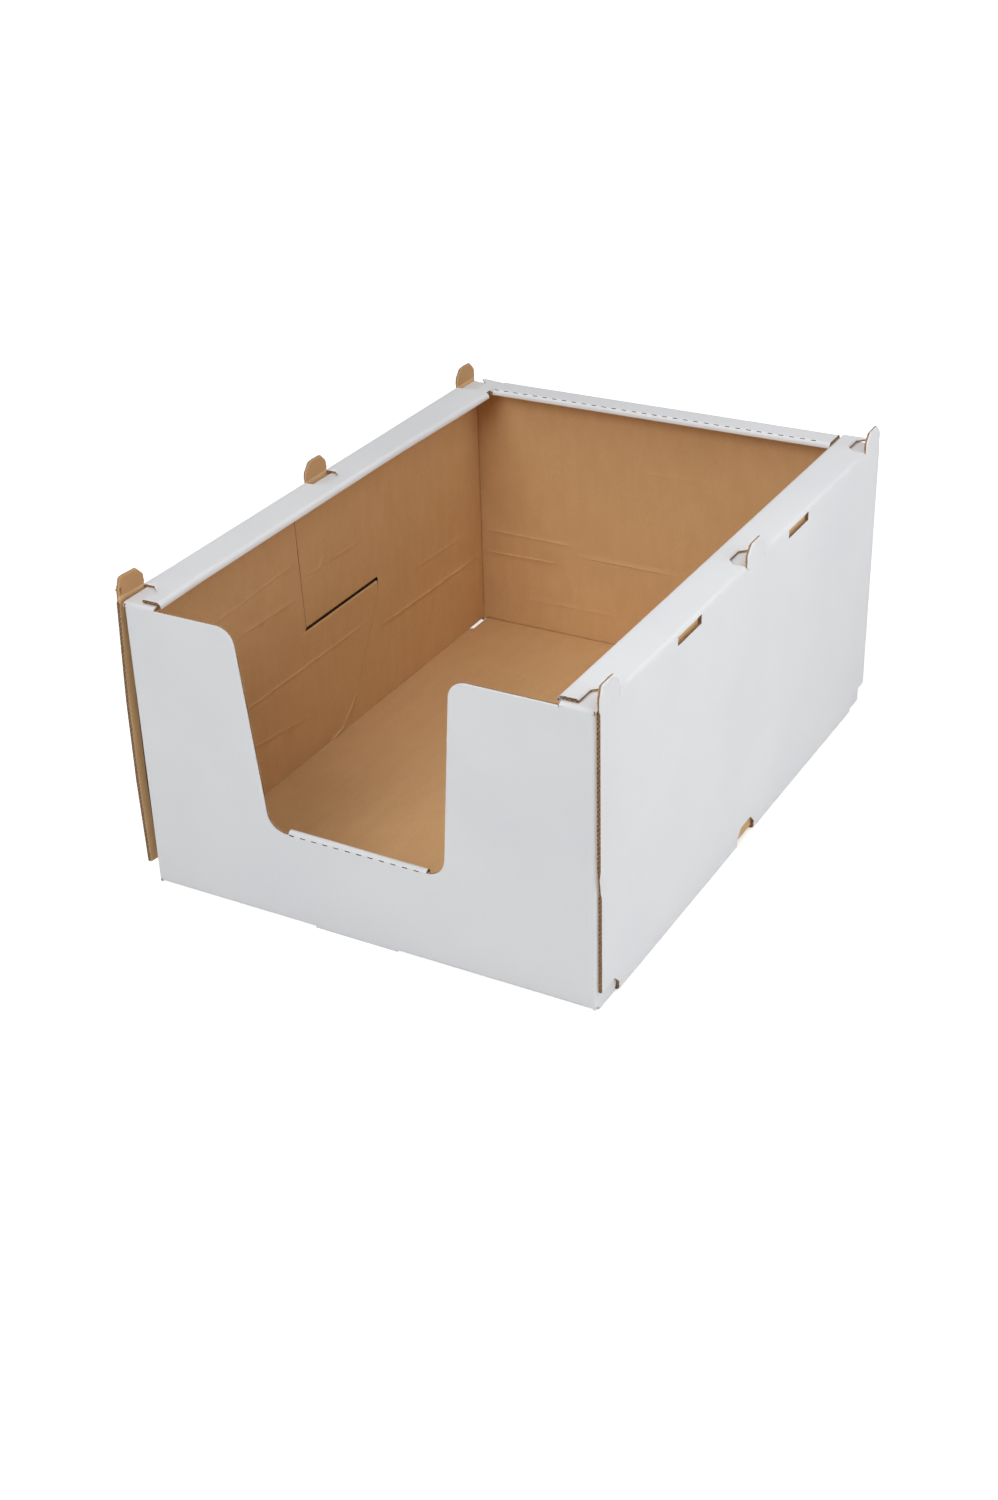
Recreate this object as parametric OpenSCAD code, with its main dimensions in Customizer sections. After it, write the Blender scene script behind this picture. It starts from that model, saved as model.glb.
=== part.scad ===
// Open storage carton: one die-cut sheet of white-lined corrugated board,
// folded and glued into a tray with a cut-down front wall.
// Units are millimetres. +Z is up, the front with the cut-out faces -Y and
// the origin is the middle of the floor's underside.

/* [Tray] */
// Outside width, across the two long walls
body_w = 400; // [320:1:620]
// Outside length, front wall to back wall
body_l = 537; // [430:1:800]
// Height of the rim above the table
body_h = 250; // [170:1:400]

/* [Board] */
// Thickness of the corrugated board
board_t = 3; // [2:0.1:4]
// Inside radius of an ordinary crease
crease_r = 0.6; // [0.3:0.1:1.2]
// Space left between two glued plies
ply_gap = 0.3; // [0.2:0.05:0.6]

/* [Rim] */
// Width of the flanges on top of the long walls
rim_w = 35; // [28:0.5:50]
// Inside radius of the bend between a long flange and its lip
lip_bend_r = 1.2; // [0.6:0.1:4]
// Depth of the long lips below their bend
lip_h = 0.6; // [0.4:0.1:8]
// Distance from the front face to the start of the long flanges
rim_start = 5; // [3:0.5:10]
// Width of the flange on top of the back wall
back_rim_w = 25; // [18:0.5:34]
// Depth of the back lip below its fold
back_lip_h = 1.2; // [0.4:0.1:8]
// Length of the four corner flanges, along the end walls
corner_w = 28; // [20:0.5:33]
// Depth of the four corner flanges, along the long walls
corner_d = 31; // [20:0.5:40]
// Width of the flanges on the inner plies, under the long flanges
inner_rim_w = 24; // [14:0.5:27]

/* [Stacking tabs] */
// Length of a middle or back tab
tab_len = 32; // [24:0.5:44]
// Length of a front tab
front_tab_len = 29.5; // [22:0.5:40]
// Height of a tab above the rim
tab_h = 15.5; // [12:0.5:20]
// Size of the corners cut off a tab
tab_cut = 7.5; // [5:0.5:8]
// Radius that softens the corners of a tab
tab_r = 3.5; // [1:0.5:5]
// Distance that the middle tab sits forward of the tray's middle
mid_shift = 2.5; // [0:0.5:12]
// Space left at each end of a tab in its receptacle
tab_play = 1.5; // [0.8:0.1:3]
// Space left above a tab in its receptacle
tab_head = 0.5; // [0.3:0.1:2]
// Set-back of a front tab's upper front corner
tab_lean = 2; // [1:0.5:4]
// Height of the slanted front edge of a front tab
tab_slant = 11; // [8:0.5:14]

/* [Floor notches] */
// Space between an inner ply's foot and the edge of its corner notch
foot_play = 1.2; // [0.6:0.1:4]
// Space between a tab below and the edge of the middle notch
mid_play = 2; // [0.8:0.1:2.8]

/* [Side slots] */
// Length of the slots under the long rims
slot_len = 41; // [25:1:55]
// Height of the slots
slot_h = 7.5; // [4:0.5:10]
// Distance from the front slot to the middle tab
slot_front_gap = 84.5; // [40:0.5:100]
// Distance from the middle tab to the back slot
slot_back_gap = 51; // [40:0.5:100]

/* [Front cut-out] */
// Distance from the middle of the front to the cut-out's left side, at the top
cut_left_top = 99; // [70:1:130]
// Distance from the middle to the cut-out's left side, at the bottom
cut_left_low = 81; // [60:1:110]
// Distance from the middle to the cut-out's right side, at the top
cut_right_top = 83; // [60:1:120]
// Distance from the middle to the cut-out's right side, at the bottom
cut_right_low = 72; // [50:1:100]
// Height of the folded edge at the bottom of the cut-out
sill_h = 82; // [50:1:130]
// Radius of the cut-out's upper corners
cut_top_r = 15; // [8:1:20]
// Radius of the cut-out's lower corners
cut_low_r = 16; // [8:1:18]
// Depth of the flap folded down inside the front wall
flap_h = 35; // [15:1:45]
// Taper of the flap's two ends
flap_taper = 6; // [2:0.5:10]

/* [Perforated folds] */
// Distance from one cut of a perforated fold to the next
perf_pitch = 10; // [8:0.5:14]
// Length of one cut
perf_len = 4.5; // [3:0.25:6]
// Width of one cut
perf_w = 0.8; // [0.5:0.1:1.2]

/* [Wall seams] */
// Height of the step in the seam between the inner plies, above the table
step_h = 125; // [90:1:140]
// Distance from the tray's middle forward to the seam's upper end
seam_top = 46; // [35:1:60]
// Distance from the tray's middle forward to the inner end of the step
seam_mid = 40; // [30:1:60]
// Distance from the tray's middle back to the outer end of the step
seam_far = 75; // [40:1:90]
// Distance from the tray's middle back to the seam's lower end
seam_low = 15; // [0:1:35]
// Drop from the step to where the lower seam starts to slant
step_drop = 17; // [8:1:30]
// Width of the seam
seam_w = 1; // [0.6:0.1:2]
// Width of the open slit along the step
slit_w = 2.4; // [1:0.1:4]

/* [Right wall edge] */
// Height below which the right wall's front edge is set back
nick_z = 108; // [60:1:150]
// Depth of that set-back
nick_d = 1.8; // [1:0.1:3]

/* [Left wall bow] */
// Outward bow of the left wall's free front edge
bow = 7; // [4:0.5:10]
// Length over which the bow fades
bow_len = 60; // [45:1:80]

/* [Hidden] */
$fn = 96;
fold_r = board_t + crease_r;
lip_r = board_t + lip_bend_r;
tab_root = body_h - fold_r;
tab_top = body_h + tab_h;
arc_steps = 6;
half_w = body_w / 2;
mid_l = body_l / 2;
ply_x = half_w - board_t - ply_gap;
low_top = body_h - board_t - ply_gap;
raw_top = low_top - 2;
flap_low = board_t + ply_gap;
floor_notch = 2 * board_t + ply_gap + foot_play;
mid_notch = board_t + mid_play;
recept_h = tab_h + tab_head;
mid_y = mid_l - tab_len / 2 - mid_shift;
back_y = body_l - tab_len;
front_slot_y = mid_y - slot_front_gap - slot_len;
back_slot_y = mid_y + tab_len + slot_back_gap;
back_rim_half = half_w - rim_w - 1;
corner_x = ply_x - corner_w;
sill_z = sill_h - board_t;
sill_r = board_t + ply_gap / 2;
flap_from = -(cut_left_low - cut_low_r - 1);
flap_to = cut_right_low - cut_low_r + 1;
slot_top = body_h - fold_r + 0.6;
bow_z = (body_h - tab_h) / 2;
bow_r = pow(body_h - fold_r - bow_z, 2) / bow;
bow_turn = atan(bow / bow_len);
lug_from = -46;
lug_to = 28;

// Quarter of a tube along +Y, bulging towards +X and +Z.
module bend_y(len, r) {
    rotate([-90, 0, 0])
    difference() {
        cylinder(h = len, r = r);
        translate([0, 0, -1])
        cylinder(h = len + 2, r = r - board_t);
        translate([-2 * r, -2 * r, -1])
        cube([2 * r, 4 * r, len + 2]);
        translate([-2 * r, 0, -1])
        cube([4 * r, 2 * r, len + 2]);
    }
}

// Quarter of a tube along +X, bulging towards -Y and +Z.
module bend_x(len, r) {
    rotate([0, 90, 0])
    difference() {
        cylinder(h = len, r = r);
        translate([0, 0, -1])
        cylinder(h = len + 2, r = r - board_t);
        translate([0, -2 * r, -1])
        cube([2 * r, 4 * r, len + 2]);
        translate([-2 * r, 0, -1])
        cube([4 * r, 2 * r, len + 2]);
    }
}

// Quarter of a tube along +Z, bulging towards +X and -Y.
module bend_z(len, r) {
    difference() {
        cylinder(h = len, r = r);
        translate([0, 0, -1])
        cylinder(h = len + 2, r = r - board_t);
        translate([-2 * r, -2 * r, -1])
        cube([2 * r, 4 * r, len + 2]);
        translate([-2 * r, 0, -1])
        cube([4 * r, 2 * r, len + 2]);
    }
}

// A plate that stands along Y, with its outline in Y and Z.
module side_plate(x, thick, outline) {
    translate([x, 0, 0])
    rotate([90, 0, 90])
    linear_extrude(height = thick)
    polygon(outline);
}

// Rounded outline. Each corner is [y, z, radius], and a sharp one has radius 0.
function aim(a, b) = (b - a) / norm(b - a);
function turned(p, angle) = [p[0] * cos(angle) - p[1] * sin(angle), p[0] * sin(angle) + p[1] * cos(angle)];
function place(corner) = [corner[0], corner[1]];
function swing(centre, first, turn) = [
    for (k = [0 : arc_steps])
        centre + turned(first, turn * k / arc_steps)
];
function corner_arc(a, c, b, r) =
    let (u = aim(c, a))
    let (v = aim(c, b))
    let (half = acos(u * v) / 2)
    let (centre = c + aim([0, 0], u + v) * r / sin(half))
    let (first = c + u * r / tan(half) - centre)
    let (last = c + v * r / tan(half) - centre)
    swing(centre, first, (180 - 2 * half) * sign(cross(first, last)));
function rounded(corners) =
    let (n = len(corners))
    [
        for (i = [0 : n - 1])
            each (corners[i][2] == 0)
                ? [place(corners[i])]
                : corner_arc(place(corners[(i + n - 1) % n]), place(corners[i]),
                    place(corners[(i + 1) % n]), corners[i][2])
    ];

// Outline of one tab, from its root in the wall to its top.
module tab(y, x, thick) {
    side_plate(x, thick, rounded([
        [y, tab_root, 0],
        [y + tab_len, tab_root, 0],
        [y + tab_len, tab_top - tab_cut, tab_r],
        [y + tab_len - tab_cut, tab_top, tab_r],
        [y + tab_cut, tab_top, tab_r],
        [y, tab_top - tab_cut, tab_r]
    ]));
}

module front_tab(x, thick) {
    side_plate(x, thick, rounded([
        [0, tab_root, 0],
        [front_tab_len, tab_root, 0],
        [front_tab_len, tab_top - tab_cut, tab_r],
        [front_tab_len - tab_cut, tab_top, tab_r],
        [tab_lean, tab_top, tab_r],
        [0, tab_top - tab_slant, tab_r]
    ]));
}

// Holes that the tabs leave in the long flange and its outer fold.
module tab_hole(y, len) {
    deep = board_t + tab_h;
    translate([half_w, 0, body_h - fold_r])
    linear_extrude(height = fold_r + 1)
    polygon([
        [1, y],
        [1, y + len],
        [tab_cut - deep, y + len],
        [-deep, y + len - tab_cut],
        [-deep, y + tab_cut],
        [tab_cut - deep, y]
    ]);
}

module front_tab_hole() {
    deep = board_t + tab_h;
    translate([half_w, 0, body_h - fold_r])
    linear_extrude(height = fold_r + 1)
    polygon([
        [1, 0],
        [1, front_tab_len],
        [tab_cut - deep, front_tab_len],
        [-deep, front_tab_len - tab_cut],
        [-deep, 0]
    ]);
}

// Receptacles for the tabs of a tray below, in the outer ply and the floor.
module corner_recept() {
    len = front_tab_len + tab_play;
    side_plate(half_w - floor_notch, floor_notch + bow + 2, [
        [-1, -1],
        [len, -1],
        [len, recept_h - tab_cut],
        [len - tab_cut, recept_h],
        [-1, recept_h]
    ]);
}

module mid_recept() {
    from = mid_y - tab_play;
    to = mid_y + tab_len + tab_play;
    side_plate(half_w - mid_notch, mid_notch + bow + 2, [
        [from, -1],
        [to, -1],
        [to, recept_h - tab_cut],
        [to - tab_cut, recept_h],
        [from + tab_cut, recept_h],
        [from, recept_h - tab_cut]
    ]);
}

module back_recept() {
    from = back_y + tab_play;
    side_plate(half_w - floor_notch, floor_notch + bow + 2, [
        [from, -1],
        [body_l + 1, -1],
        [body_l + 1, recept_h],
        [from + tab_cut, recept_h],
        [from, recept_h - tab_cut]
    ]);
}

// Receptacles of one side without the inner ply's feet, which stand in them.
module recepts() {
    corner_recept();
    mid_recept();
    back_recept();
}

// Slot under the rim, through the outer ply and the inner ply's top.
module slot_outer(y) {
    translate([half_w - board_t - ply_gap / 2, y, slot_top - slot_h])
    cube([board_t + 2, slot_len, slot_h]);
}

module slot_inner(y) {
    translate([half_w - rim_w, y, slot_top - slot_h])
    cube([rim_w, slot_len, slot_h + 1]);
}

// Outer ply as a flat plate with its three tabs.
module flat_ply() {
    translate([half_w - board_t, 0, fold_r])
    cube([board_t, body_l, body_h - 2 * fold_r]);
    front_tab(half_w - board_t, board_t);
    tab(mid_y, half_w - board_t, board_t);
    tab(back_y, half_w - board_t, board_t);
}

// Large drum whose skin gives the bowed part of the left ply.
module bow_drum(r) {
    translate([half_w + bow, 0, bow_z])
    rotate([0, 0, bow_turn])
    translate([-bow_r, -40, 0])
    rotate([-90, 0, 0])
    cylinder(h = bow_len * 2 + 80, r = r, $fn = 720);
}

module bowed_ply() {
    difference() {
        union() {
            flat_ply();
            intersection() {
                bow_drum(bow_r);
                union() {
                    translate([half_w - board_t, 0, fold_r])
                    cube([board_t + bow + 1, bow_len * 1.5, body_h - 2 * fold_r]);
                    front_tab(half_w - board_t, board_t + bow + 1);
                }
            }
        }
        bow_drum(bow_r - board_t);
    }
}

// Rim of one long wall: fold, flange, bend and lip.
module long_rim() {
    run = body_l - rim_start;
    difference() {
        translate([0, rim_start, 0])
        union() {
            translate([half_w - fold_r, 0, body_h - fold_r])
            bend_y(run, fold_r);
            translate([half_w - rim_w + lip_r, 0, body_h - board_t])
            cube([rim_w - lip_r - fold_r, run, board_t]);
            translate([half_w - rim_w + lip_r, 0, body_h - lip_r])
            mirror([1, 0, 0])
            bend_y(run, lip_r);
            translate([half_w - rim_w, 0, body_h - lip_r - lip_h])
            cube([board_t, run, lip_h]);
        }
        front_tab_hole();
        tab_hole(mid_y, tab_len);
        tab_hole(back_y, tab_len);
    }
}

// Strip taken off the lower part of a long wall's front edge.
module front_nick() {
    translate([half_w - board_t - ply_gap / 2, -1, recept_h - 1])
    cube([board_t + 2, nick_d + 1, nick_z - recept_h + 1]);
}

// Outer wall of one long side, with its fold to the floor.
module outer_side(bowed) {
    difference() {
        union() {
            if (bowed) {
                bowed_ply();
            } else {
                flat_ply();
            }
            long_rim();
            translate([half_w - fold_r, 0, fold_r])
            mirror([0, 0, 1])
            bend_y(body_l, fold_r);
        }
        recepts();
        slot_outer(front_slot_y);
        slot_outer(back_slot_y);
        if (!bowed)
            front_nick();
    }
}

// Flange on top of an inner ply, with its fold.
module inner_rim(from, to) {
    translate([ply_x - fold_r, from, low_top - fold_r])
    bend_y(to - from, fold_r);
    translate([ply_x - inner_rim_w, from, low_top - board_t])
    cube([inner_rim_w - fold_r, to - from, board_t]);
}

// Front wall's side flap: the front half of the inner ply.
module front_flap() {
    foot = front_tab_len;
    difference() {
        union() {
            side_plate(ply_x - board_t, board_t, [
                [fold_r, 0],
                [foot, 0],
                [foot, flap_low],
                [mid_l + seam_low - seam_w / 2, flap_low],
                [mid_l + seam_far - seam_w, step_h - step_drop],
                [mid_l + seam_far, step_h - slit_w],
                [mid_l - seam_mid - seam_w / 2, step_h - slit_w],
                [mid_l - seam_top - seam_w / 2, low_top - fold_r - 1],
                [mid_l - seam_top - seam_w / 2, low_top - fold_r],
                [corner_d + 1, low_top - fold_r],
                [corner_d + 1, low_top - board_t - ply_gap],
                [fold_r, low_top - board_t - ply_gap]
            ]);
            inner_rim(corner_d + 1, mid_l - seam_top - seam_w / 2);
        }
        slot_inner(front_slot_y);
    }
}

// Back wall's side flap: the back half of the inner ply.
module back_flap() {
    foot = body_l - tab_len + tab_play * 2;
    difference() {
        union() {
            side_plate(ply_x - board_t, board_t, [
                [body_l - fold_r, 0],
                [foot, 0],
                [foot, flap_low],
                [mid_l + seam_low + seam_w / 2, flap_low],
                [mid_l + seam_far, step_h - step_drop],
                [mid_l + seam_far + seam_w, step_h],
                [mid_l - seam_mid + seam_w / 2, step_h],
                [mid_l - seam_top + seam_w / 2, low_top - fold_r - 1],
                [mid_l - seam_top + seam_w / 2, low_top - fold_r],
                [body_l - corner_d - 1, low_top - fold_r],
                [body_l - corner_d - 1, low_top - board_t - ply_gap],
                [body_l - fold_r, low_top - board_t - ply_gap]
            ]);
            inner_rim(mid_l - seam_top + seam_w / 2, body_l - corner_d - 1);
        }
        slot_inner(back_slot_y);
    }
}

// Folds from an end wall into its right flap and its right corner flange.
module end_corner() {
    translate([ply_x - fold_r, fold_r, board_t])
    bend_z(low_top - fold_r - board_t, fold_r);
    translate([corner_x, fold_r, low_top - fold_r])
    bend_x(corner_w, fold_r);
    translate([corner_x, fold_r, low_top - board_t])
    cube([corner_w, corner_d - fold_r, board_t]);
}

// One end wall with its raw upper edge between the corner flanges.
module end_wall() {
    translate([-(ply_x - fold_r), 0, 0])
    cube([2 * (ply_x - fold_r), board_t, low_top - fold_r]);
    translate([-corner_x, 0, low_top - fold_r])
    cube([2 * (corner_x), board_t, raw_top - low_top + fold_r]);
}

// Part of a wall's lower edge taken away where the sheet folds into the floor.
module floor_crease(from, to) {
    translate([from, -1, -1])
    cube([to - from, fold_r + 1, fold_r + 1]);
}

module floor_fold(from, to) {
    translate([from, fold_r, fold_r])
    mirror([0, 0, 1])
    bend_x(to - from, fold_r);
}

// One side of the cut-out: its fillets are laid on the sloping line that runs
// from (low, sill) to (top, raw_top); s is -1 on the left and +1 on the right.
function line_x(low, top, z) = low + (top - low) * (z - sill_z) / (raw_top - sill_z);
function line_len(low, top) = norm([top - low, raw_top - sill_z]);
function norm_x(s, low, top) = s * (raw_top - sill_z) / line_len(low, top);
function norm_z(s, low, top) = -s * (top - low) / line_len(low, top);

module upper_flare(s, low, top) {
    qz = raw_top - cut_top_r - norm_z(s, low, top) * cut_top_r;
    qx = line_x(low, top, qz);
    cx = qx + norm_x(s, low, top) * cut_top_r;
    cz = raw_top - cut_top_r;
    difference() {
        polygon([[cx, cz], [qx - s * 0.5, qz], [line_x(low, top, raw_top + 9) - s * 0.5, raw_top + 9],
            [cx, raw_top + 9]]);
        translate([cx, cz])
        circle(r = cut_top_r);
    }
}

module lower_fillet(s, low, top) {
    qz = sill_z + cut_low_r + norm_z(s, low, top) * cut_low_r;
    qx = line_x(low, top, qz);
    cx = qx - norm_x(s, low, top) * cut_low_r;
    cz = sill_z + cut_low_r;
    difference() {
        polygon([[cx, cz], [qx + s * 0.5, qz], [low + s * 0.5, sill_z - 0.5], [cx, sill_z - 0.5]]);
        translate([cx, cz])
        circle(r = cut_low_r);
    }
}

module cutout_shape() {
    difference() {
        polygon([
            [-cut_left_low, sill_z],
            [cut_right_low, sill_z],
            [line_x(cut_right_low, cut_right_top, raw_top + 9), raw_top + 9],
            [line_x(-cut_left_low, -cut_left_top, raw_top + 9), raw_top + 9]
        ]);
        lower_fillet(-1, -cut_left_low, -cut_left_top);
        lower_fillet(1, cut_right_low, cut_right_top);
    }
    upper_flare(-1, -cut_left_low, -cut_left_top);
    upper_flare(1, cut_right_low, cut_right_top);
}

// Flap at the bottom of the cut-out: folded back on itself inside the wall.
module sill_flap() {
    wide = flap_to - flap_from;
    translate([flap_from, sill_r, sill_z])
    rotate([0, 90, 0])
    difference() {
        cylinder(h = wide, r = sill_r);
        translate([0, 0, -1])
        cylinder(h = wide + 2, r = ply_gap / 2);
        translate([0, -2 * sill_r, -1])
        cube([2 * sill_r, 4 * sill_r, wide + 2]);
    }
    translate([0, board_t * 2 + ply_gap, 0])
    rotate([90, 0, 0])
    linear_extrude(height = board_t)
    polygon([
        [flap_from, sill_z],
        [flap_to, sill_z],
        [flap_to - flap_taper, sill_z - flap_h],
        [flap_from + flap_taper, sill_z - flap_h]
    ]);
}

// Row of short cuts through a fold, along +X.
module perf_row(from, to, y, z, deep_y, deep_z) {
    count = floor((to - from - perf_len) / perf_pitch);
    for (i = [0 : count])
        translate([from + i * perf_pitch, y, z])
        cube([perf_len, deep_y, deep_z]);
}

// Front wall with its cut-out and sill.
module front_end() {
    difference() {
        union() {
            end_wall();
            end_corner();
            mirror([1, 0, 0])
            end_corner();
        }
        translate([0, board_t + 1, 0])
        rotate([90, 0, 0])
        linear_extrude(height = board_t + 2)
        cutout_shape();
        floor_crease(-(half_w - floor_notch), lug_from);
        floor_crease(lug_to, half_w - floor_notch);
        translate([flap_from + 0.5, -1, sill_z - perf_w / 2])
        perf_row(0, flap_to - flap_from - 1, 0, 0, board_t + 1 + ply_gap / 2, perf_w);
    }
    floor_fold(-(half_w - floor_notch), half_w - floor_notch);
    difference() {
        sill_flap();
        translate([flap_from + 0.5, -1, sill_z - perf_w / 2])
        perf_row(0, flap_to - flap_from - 1, 0, 0, board_t + 1 + ply_gap / 2, perf_w);
    }
}

// Flange and lip on top of the back wall, with their perforated fold.
module back_rim() {
    wide = 2 * back_rim_half;
    translate([-wide / 2, fold_r, body_h - fold_r])
    bend_x(wide, fold_r);
    difference() {
        union() {
            translate([-wide / 2, fold_r, body_h - board_t])
            cube([wide, back_rim_w - 2 * fold_r, board_t]);
            translate([wide / 2, back_rim_w - fold_r, body_h - fold_r])
            rotate([0, 0, 180])
            bend_x(wide, fold_r);
            translate([-wide / 2, back_rim_w - board_t, body_h - fold_r - back_lip_h])
            cube([wide, board_t, back_lip_h]);
        }
        perf_row(0.5 - wide / 2, wide / 2 - 9, back_rim_w - board_t * 0.8, body_h - fold_r,
            perf_w, fold_r + 1);
    }
}

module back_end() {
    difference() {
        union() {
            end_wall();
            translate([-back_rim_half, 0, raw_top])
            cube([2 * back_rim_half, board_t, body_h - fold_r - raw_top]);
            end_corner();
            mirror([1, 0, 0])
            end_corner();
        }
        floor_crease(-(half_w - floor_notch), half_w - floor_notch);
    }
    floor_fold(-(half_w - floor_notch), half_w - floor_notch);
    back_rim();
}

// Floor between the four lower folds, notched under the receptacles.
module floor_panel() {
    difference() {
        translate([-(half_w - fold_r), fold_r, 0])
        cube([2 * (half_w - fold_r), body_l - 2 * fold_r, board_t]);
        recepts();
        mirror([1, 0, 0])
        recepts();
    }
}

// The whole folded sheet.
module carton_sheet() {
    color("#e9eaeb")
    translate([0, -body_l / 2, 0])
    union() {
        floor_panel();
        outer_side(false);
        mirror([1, 0, 0])
        outer_side(true);
        front_end();
        translate([0, body_l, 0])
        mirror([0, 1, 0])
        back_end();
        front_flap();
        back_flap();
        mirror([1, 0, 0])
        front_flap();
        mirror([1, 0, 0])
        back_flap();
    }
}

carton_sheet();
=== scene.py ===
# %% [markdown]
# # A storage carton, die-cut flat and then folded
# The real carton is one sheet of corrugated board. A press cuts its outline, a
# worker folds it up, and glue holds the corners. This lesson makes it in the same
# order: cut a flat sheet, fold it, bend it as use has bent it, and give it its
# thickness last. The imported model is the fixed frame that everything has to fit.

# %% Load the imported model
import math

import bmesh
import bpy
from mathutils import Matrix, Vector
from mathutils.geometry import intersect_point_line


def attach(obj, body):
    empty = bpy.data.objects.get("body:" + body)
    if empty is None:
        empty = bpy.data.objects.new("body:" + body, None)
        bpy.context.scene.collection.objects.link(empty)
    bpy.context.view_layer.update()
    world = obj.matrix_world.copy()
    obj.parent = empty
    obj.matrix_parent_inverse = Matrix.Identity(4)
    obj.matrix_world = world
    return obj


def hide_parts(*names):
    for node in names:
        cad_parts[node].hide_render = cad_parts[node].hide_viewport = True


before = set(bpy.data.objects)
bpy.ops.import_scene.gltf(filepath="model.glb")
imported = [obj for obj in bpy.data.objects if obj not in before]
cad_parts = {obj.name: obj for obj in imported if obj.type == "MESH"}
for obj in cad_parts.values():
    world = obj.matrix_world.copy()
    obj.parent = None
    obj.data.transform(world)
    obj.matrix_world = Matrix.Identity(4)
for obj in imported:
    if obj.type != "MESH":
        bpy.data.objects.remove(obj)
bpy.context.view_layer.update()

# %% [markdown]
# ## Sizes
# All lengths are in millimetres while the sheet is made, because board is drawn and
# cut in millimetres. The front face is at Y = 0 and the table at Z = 0. They repeat
# the values of the construction, and the last step turns them into metres.

# %% Sizes of the tray
WIDTH, LENGTH, HEIGHT = 400.0, 537.0, 250.0
BOARD = 3.0
FOLD = 3.6
GAP = 0.3
HALF = WIDTH / 2
PLY = HALF - BOARD - GAP
LOW_TOP = HEIGHT - BOARD - GAP
RAW_TOP = LOW_TOP - 2
QUARTER = math.pi / 2
ARC = FOLD * QUARTER
print("inner plies at", PLY, "end flanges at", LOW_TOP)

# %% Sizes of the rims, the tabs and the cut-out
RIM, RIM_START, LIP_BEND, LIP = 35.0, 5.0, 4.2, 4.8
BACK_RIM, BACK_LIP = 25.0, 4.8
CORNER_W, CORNER_D = 28.0, 31.0
INNER_RIM = 24.0
TAB, FRONT_TAB, TAB_H, TAB_CUT, TAB_R = 32.0, 29.5, 15.5, 7.5, 3.5
MIDDLE_TAB = LENGTH / 2 - TAB / 2 - 2.5
BACK_TAB = LENGTH - TAB
SILL = 79.0
SILL_BEND = 3.15
FLAP = 35.0
NICK_Z, NICK = 108.0, 1.8
FRONT_SLOT, BACK_SLOT = (124.5, 165.5), (333, 374)
print("tabs start at", 0.0, MIDDLE_TAB, BACK_TAB)

# %% Sizes of the flutes and the squeezed edges
FLUTE = 3.8
CRUSH_BAND = 1.3
TAB_SQUEEZE, SLOT_SQUEEZE, EDGE_SQUEEZE, NICK_SQUEEZE = 0.62, 0.35, 0.4, 0.6
SLIT_SQUEEZE_LOW, SLIT_SQUEEZE_HIGH = 0.78, 0.6
print("a flute every", FLUTE, "mm, squeezed band", CRUSH_BAND, "mm")

# %% [markdown]
# ## A flat sheet
# The flat sheet is one face that `bisect_plane` scores into cells of 8 mm, so that it
# can bend later. Every sheet is scored at the same places, and so two sheets that
# meet along a fold have their corners in the same spots and can be joined there.
# U runs across the flutes of the board and V runs along them.

# %% Make and score a flat sheet
def score(sheet, u=(), v=()):
    """Scores the whole sheet along lines of constant U or V."""
    for places, across in ((u, (1, 0, 0)), (v, (0, 1, 0))):
        for place in places:
            everything = sheet.verts[:] + sheet.edges[:] + sheet.faces[:]
            bmesh.ops.bisect_plane(sheet, geom=everything, dist=1e-4,
                                   plane_co=Vector(across) * place, plane_no=across)


def blank(u0, u1, v0, v1, cell=8):
    """A flat rectangle of cells."""
    sheet = bmesh.new()
    sheet.verts.layers.float.new("crush")
    bmesh.ops.create_grid(sheet, x_segments=1, y_segments=1, size=0.5)
    bmesh.ops.scale(sheet, vec=(u1 - u0, v1 - v0, 1), verts=sheet.verts)
    bmesh.ops.translate(sheet, vec=((u0 + u1) / 2, (v0 + v1) / 2, 0), verts=sheet.verts)
    score(sheet, u=range(cell * math.ceil(u0 / cell), math.ceil(u1), cell),
          v=range(cell * math.ceil(v0 / cell), math.ceil(v1), cell))
    return sheet


def rows(start, length, count=6):
    """Places of the score lines that let a strip bend smoothly."""
    return [start + length * k / count for k in range(count + 1)]


# %% [markdown]
# ## The cutting die
# A steel rule presses the outline through the board. Here each edge of an outline is
# a `bisect_plane` through the cells near it, and the cells inside are then deleted.
# A part that stays in the hole, such as a tab, is given as `keep`.

# %% Outlines with rounded corners
def rounded(corners, steps=6):
    """An outline from (u, v, radius) corners."""
    outline = []
    for i, (u, v, radius) in enumerate(corners):
        here = Vector((u, v))
        if not radius:
            outline.append((u, v))
            continue
        before = (Vector(corners[i - 1][:2]) - here).normalized()
        after = (Vector(corners[(i + 1) % len(corners)][:2]) - here).normalized()
        half = before.angle(after) / 2
        centre = here + (before + after).normalized() * (radius / math.sin(half))
        first = here + before * (radius / math.tan(half)) - centre
        last = here + after * (radius / math.tan(half)) - centre
        turn = math.atan2(first.cross(last), first.dot(last))
        for k in range(steps + 1):
            spoke = Matrix.Rotation(turn * k / steps, 2) @ first
            outline.append(tuple(centre + spoke))
    return outline


def inside(outline, u, v):
    """True where the point lies in the outline."""
    within = False
    for (a, b), (c, d) in zip(outline, outline[1:] + outline[:1]):
        if (b > v) != (d > v) and u < (c - a) * (v - b) / (d - b) + a:
            within = not within
    return within


def on_line(line, u, v, slack=0.06):
    """True where the point lies on one of the line's runs."""
    p = Vector((u, v, 0))
    for a, b in zip(line, line[1:]):
        a, b = Vector((*a, 0)), Vector((*b, 0))
        _, along = intersect_point_line(p, a, b)
        if (a + (b - a) * min(max(along, 0), 1) - p).length < slack:
            return True
    return False


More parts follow.
